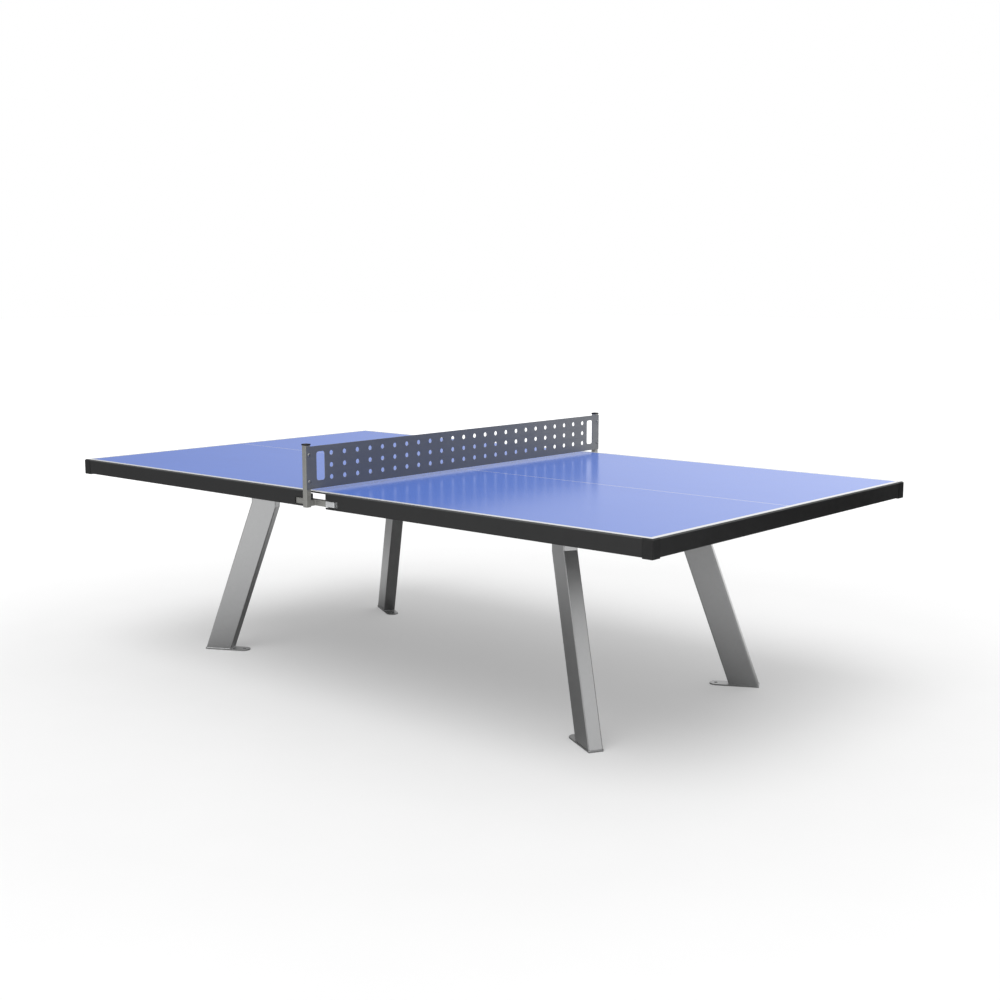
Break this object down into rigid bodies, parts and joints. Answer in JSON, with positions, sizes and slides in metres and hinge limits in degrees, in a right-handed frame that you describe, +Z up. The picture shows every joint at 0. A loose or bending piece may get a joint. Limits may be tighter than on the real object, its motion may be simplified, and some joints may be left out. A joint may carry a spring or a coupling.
{
  "type": "outdoor table-tennis table",
  "caption": "Fixed outdoor table-tennis table: blue laminate top in a black steel rim, cranked galvanised tube legs on foot plates, perforated steel net between square posts.",
  "frame": {"origin": "on the floor under the middle of the net", "axes": "+Z up, X along the 2.74 m length, Y across the table along the net; the net plate faces +X"},
  "size_m": [2.7516, 1.6044, 0.9213],
  "materials": {
    "blue_laminate": "matt blue resin laminate with painted white lines",
    "black_steel": "satin black powder coat on folded steel",
    "black_plastic": "fine-grained moulded plastic",
    "galvanised": "hot-dip galvanised, dull",
    "net_steel": "dark grey metallic coat on perforated sheet",
    "zinc": "bright zinc plate"
  },
  "bodies": {
    "root": {"bar_shoe_far": "zinc", "bar_shoe_near": "zinc", "corner_cap_far_left": "black_plastic", "corner_cap_far_right": "black_plastic", "corner_cap_near_left": "black_plastic", "corner_cap_near_right": "black_plastic", "end_rail_left": "black_steel", "end_rail_right": "black_steel", "foot_plate_far_left": "galvanised", "foot_plate_far_right": "galvanised", "foot_plate_near_left": "galvanised", "foot_plate_near_right": "galvanised", "half_top_left": "blue_laminate", "half_top_right": "blue_laminate", "inner_rib_left": "black_steel", "inner_rib_right": "black_steel", "joint_strip": "black_steel", "leg_beam_left": "black_steel", "leg_beam_right": "black_steel", "leg_bolt_far_left_1": "zinc", "leg_bolt_far_left_2": "zinc", "leg_bolt_far_left_3": "zinc", "leg_bolt_far_left_4": "zinc", "leg_bolt_far_right_1": "zinc", "leg_bolt_far_right_2": "zinc", "leg_bolt_far_right_3": "zinc", "leg_bolt_far_right_4": "zinc", "leg_bolt_near_left_1": "zinc", "leg_bolt_near_left_2": "zinc", "leg_bolt_near_left_3": "zinc", "leg_bolt_near_left_4": "zinc", "leg_bolt_near_right_1": "zinc", "leg_bolt_near_right_2": "zinc", "leg_bolt_near_right_3": "zinc", "leg_bolt_near_right_4": "zinc", "leg_far_left": "galvanised", "leg_far_right": "galvanised", "leg_near_left": "galvanised", "leg_near_right": "galvanised", "net_plate": "net_steel", "net_post_far": "galvanised", "net_post_near": "galvanised", "net_screw_far_1": "zinc", "net_screw_far_2": "zinc", "net_screw_near_1": "zinc", "net_screw_near_2": "zinc", "outer_rib_left": "black_steel", "outer_rib_right": "black_steel", "post_bar_far": "galvanised", "post_bar_near": "galvanised", "post_bracket_far": "black_steel", "post_bracket_near": "black_steel", "post_cap_far": "black_plastic", "post_cap_near": "black_plastic", "side_rail_far_left": "black_steel", "side_rail_far_right": "black_steel", "side_rail_near_left": "black_steel", "side_rail_near_right": "black_steel"}
  },
  "joints": []
}
